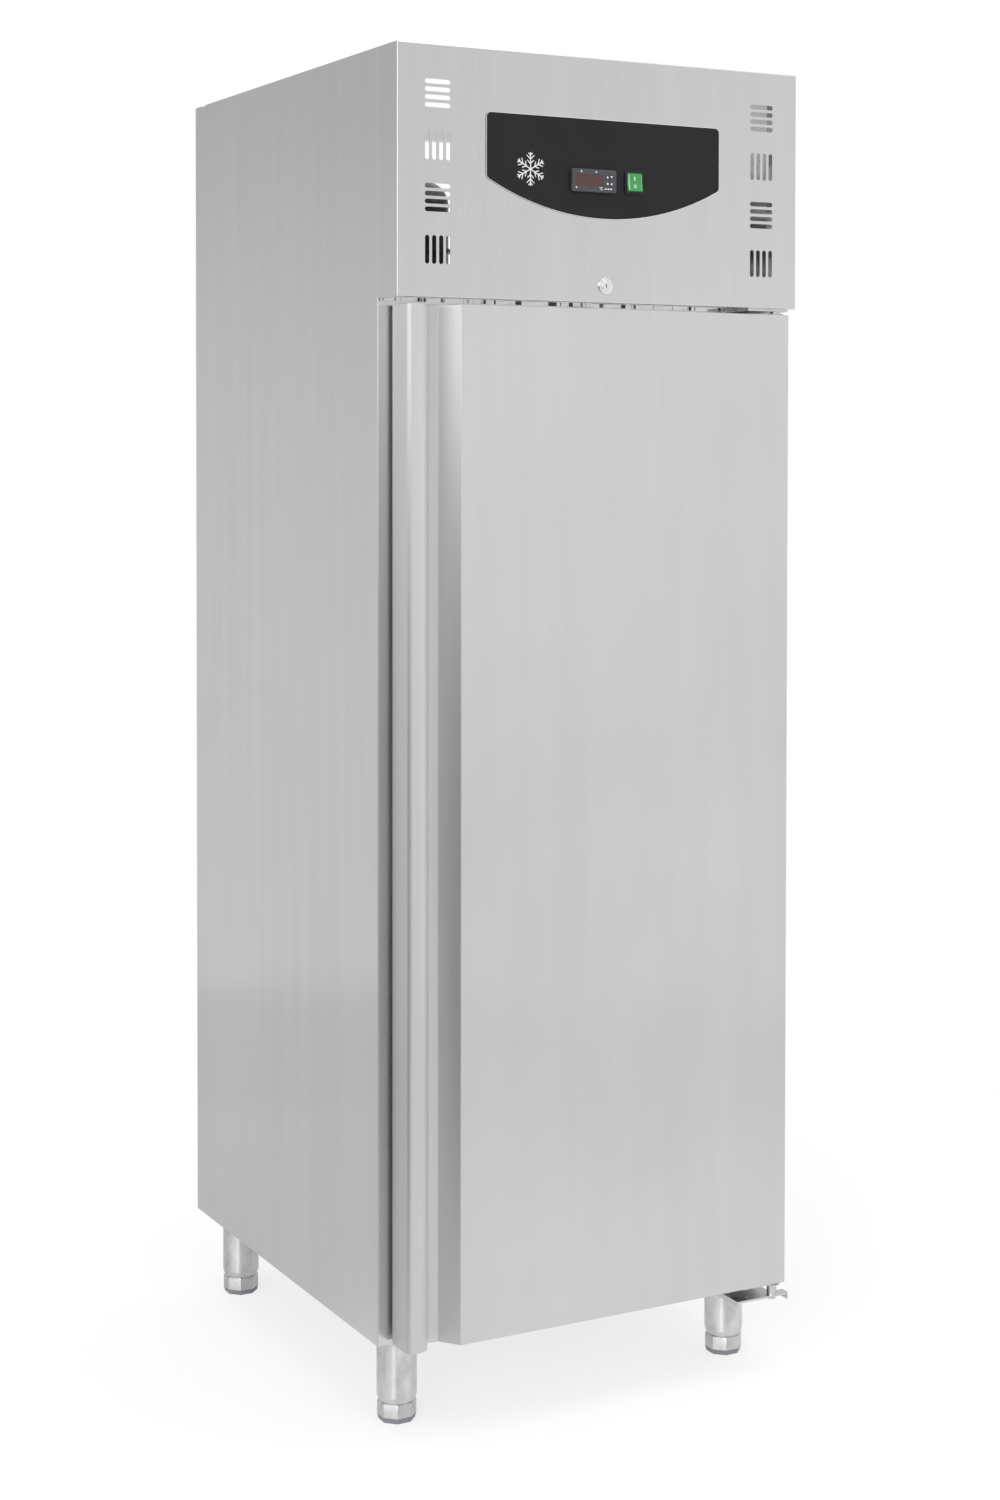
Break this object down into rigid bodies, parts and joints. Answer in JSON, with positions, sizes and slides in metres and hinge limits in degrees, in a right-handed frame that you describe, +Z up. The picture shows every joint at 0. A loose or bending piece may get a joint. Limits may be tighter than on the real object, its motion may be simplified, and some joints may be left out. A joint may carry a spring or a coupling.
{
  "type": "commercial refrigerator",
  "caption": "Upright one-door stainless refrigerator with a full-height handle fold, a head panel with controls and vents, wire shelves and levelling feet.",
  "frame": {"origin": "on the floor, below the middle of the whole object", "axes": "+X to the right as seen from the front, +Y to the back, +Z up"},
  "size_m": [0.68, 0.8072, 2.01],
  "materials": {
    "stainless_sheet": "brushed",
    "stainless_liner": "satin",
    "shelf_wire": "polished",
    "foam": "matte",
    "black_plate": "satin",
    "black_plastic": "satin",
    "black_key": "matte",
    "dark_window": "gloss",
    "green_rocker": "gloss",
    "lock_chrome": "polished",
    "compressor_enamel": "satin",
    "black_rubber": "matte",
    "coil_aluminium": "satin",
    "galvanised_sheet": "satin",
    "motor_enamel": "satin",
    "fan_aluminium": "satin",
    "fan_plastic": "satin",
    "cover_plastic": "satin",
    "copper": "satin",
    "grey_plastic": "matte",
    "grey_gasket": "matte",
    "cap_plastic": "satin",
    "hinge_steel": "satin",
    "bush_brass": "satin",
    "screw_steel": "satin",
    "leg_stainless": "polished",
    "foot_stainless": "polished",
    "foot_cap_plastic": "satin"
  },
  "bodies": {
    "cabinet": {"side_panel_left": "stainless_sheet", "side_panel_right": "stainless_sheet", "rear_panel": "stainless_sheet", "base_pan": "stainless_sheet", "deck_plate": "stainless_sheet", "front_frame": "stainless_sheet", "insulation": "foam", "liner": "stainless_liner", "rack_posts": "stainless_liner", "shelf_runners": "stainless_liner", "fascia": "stainless_sheet", "top_rims": "stainless_sheet", "rear_rail": "stainless_sheet", "control_plate": "black_plate", "controller_case": "black_plastic", "display_window": "dark_window", "switch_bezel": "black_plastic", "lock_barrel": "lock_chrome", "compressor": "compressor_enamel", "compressor_mounts": "black_rubber", "condenser": "coil_aluminium", "condenser_shroud": "galvanised_sheet", "condenser_fan_motor": "motor_enamel", "evaporator": "coil_aluminium", "evaporator_cover": "cover_plastic", "evaporator_fan_motor": "motor_enamel", "refrigerant_pipes": "copper", "drain_pipe": "grey_plastic", "electrical_box": "grey_plastic", "hinge_bracket_top": "hinge_steel", "hinge_bracket_bottom": "hinge_steel", "fasteners": "screw_steel", "legs": "leg_stainless"},
    "door": {"door_skin": "stainless_sheet", "door_foam": "foam", "door_inner_panel": "stainless_liner", "door_gasket": "grey_gasket", "door_cap_top": "cap_plastic", "door_cap_bottom": "cap_plastic", "door_hinge_plate": "hinge_steel", "hinge_bushes": "bush_brass"},
    "switch": {"switch_rocker": "green_rocker"},
    "up_key": {"key_up": "black_key"},
    "down_key": {"key_down": "black_key"},
    "set_key": {"key_set": "black_key"},
    "defrost_key": {"key_defrost": "black_key"},
    "lock": {"lock_plug": "lock_chrome"},
    "condenser_fan": {"condenser_fan_blade": "fan_aluminium"},
    "evaporator_fan": {"evaporator_fan_blade": "fan_plastic"},
    "low_shelf": {"shelf_1": "shelf_wire"},
    "middle_shelf": {"shelf_2": "shelf_wire"},
    "high_shelf": {"shelf_3": "shelf_wire"},
    "foot_front_left": {"foot_front_left": "foot_stainless", "foot_cap_front_left": "foot_cap_plastic"},
    "foot_front_right": {"foot_front_right": "foot_stainless", "foot_cap_front_right": "foot_cap_plastic"},
    "foot_rear_left": {"foot_rear_left": "foot_stainless", "foot_cap_rear_left": "foot_cap_plastic"},
    "foot_rear_right": {"foot_rear_right": "foot_stainless", "foot_cap_rear_right": "foot_cap_plastic"}
  },
  "joints": [
    {"name": "door_hinge", "type": "hinge", "parent": "cabinet", "child": "door", "pos_m": [0.3135, -0.38035, 0.9], "axis": [0, 0, 1], "range_deg": [0, 110]},
    {"name": "switch_rock", "type": "hinge", "parent": "cabinet", "child": "switch", "pos_m": [0.048, -0.39695, 1.8298], "axis": [1, 0, 0], "range_deg": [0, 12]},
    {"name": "up_key_press", "type": "slide", "parent": "cabinet", "child": "up_key", "axis": [0, 1, 0], "range_m": [0, 0.0008], "stiffness_N_per_m": 400},
    {"name": "down_key_press", "type": "slide", "parent": "cabinet", "child": "down_key", "axis": [0, 1, 0], "range_m": [0, 0.0008], "stiffness_N_per_m": 400},
    {"name": "set_key_press", "type": "slide", "parent": "cabinet", "child": "set_key", "axis": [0, 1, 0], "range_m": [0, 0.0008], "stiffness_N_per_m": 400},
    {"name": "defrost_key_press", "type": "slide", "parent": "cabinet", "child": "defrost_key", "axis": [0, 1, 0], "range_m": [0, 0.0008], "stiffness_N_per_m": 400},
    {"name": "lock_turn", "type": "hinge", "parent": "cabinet", "child": "lock", "pos_m": [0, -0.37405, 1.675], "axis": [0, 1, 0], "range_deg": [0, 90]},
    {"name": "condenser_fan_spin", "type": "hinge", "parent": "cabinet", "child": "condenser_fan", "pos_m": [0.186, 0.00365, 1.7875], "axis": [0, 1, 0], "continuous": true},
    {"name": "evaporator_fan_spin", "type": "hinge", "parent": "cabinet", "child": "evaporator_fan", "pos_m": [0, -0.14535, 1.505], "axis": [0, 1, 0], "continuous": true},
    {"name": "low_shelf_slide", "type": "slide", "parent": "cabinet", "child": "low_shelf", "axis": [0, -1, 0], "range_m": [0, 0.058]},
    {"name": "middle_shelf_slide", "type": "slide", "parent": "cabinet", "child": "middle_shelf", "axis": [0, -1, 0], "range_m": [0, 0.058]},
    {"name": "high_shelf_slide", "type": "slide", "parent": "cabinet", "child": "high_shelf", "axis": [0, -1, 0], "range_m": [0, 0.058]},
    {"name": "foot_front_left_turn", "type": "hinge", "parent": "cabinet", "child": "foot_front_left", "pos_m": [-0.287, -0.28335, 0.02], "axis": [0, 0, 1], "continuous": true},
    {"name": "foot_front_right_turn", "type": "hinge", "parent": "cabinet", "child": "foot_front_right", "pos_m": [0.287, -0.28335, 0.02], "axis": [0, 0, 1], "continuous": true},
    {"name": "foot_rear_left_turn", "type": "hinge", "parent": "cabinet", "child": "foot_rear_left", "pos_m": [-0.287, 0.33765, 0.02], "axis": [0, 0, 1], "continuous": true},
    {"name": "foot_rear_right_turn", "type": "hinge", "parent": "cabinet", "child": "foot_rear_right", "pos_m": [0.287, 0.33765, 0.02], "axis": [0, 0, 1], "continuous": true}
  ]
}
